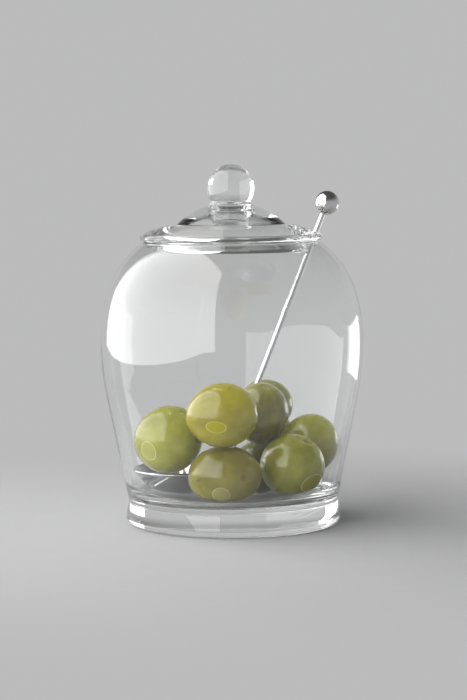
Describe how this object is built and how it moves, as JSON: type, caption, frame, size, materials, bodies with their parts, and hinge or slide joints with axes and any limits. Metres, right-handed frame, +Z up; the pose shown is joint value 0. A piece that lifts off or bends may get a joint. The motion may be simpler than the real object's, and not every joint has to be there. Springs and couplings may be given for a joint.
{
  "type": "olive jar",
  "caption": "Clear glass olive jar with a glass lid and ball knob, a ball-ended steel olive spoon through a notch in the lid, and large green olives.",
  "frame": {"origin": "centre of the circle that the jar's foot stands on, on the jar's axis", "axes": "+Z up along the jar's axis; +X towards the side where the spoon's handle comes out of the lid; -Y towards the front, where the top olive and the front olive show"},
  "size_m": [0.1052, 0.1052, 0.1435],
  "materials": {
    "clear_glass": "polished",
    "polished_steel": "polished",
    "olive_skin": "gloss"
  },
  "bodies": {
    "root": {"jar": "clear_glass", "lid": "clear_glass", "spoon_bowl": "polished_steel", "spoon_rod": "polished_steel", "spoon_ball": "polished_steel", "olive_front": "olive_skin", "olive_floor": "olive_skin", "olive_right": "olive_skin", "olive_back": "olive_skin", "olive_side": "olive_skin", "olive_spoon": "olive_skin", "olive_top": "olive_skin", "olive_middle": "olive_skin", "olive_far": "olive_skin"}
  },
  "joints": []
}
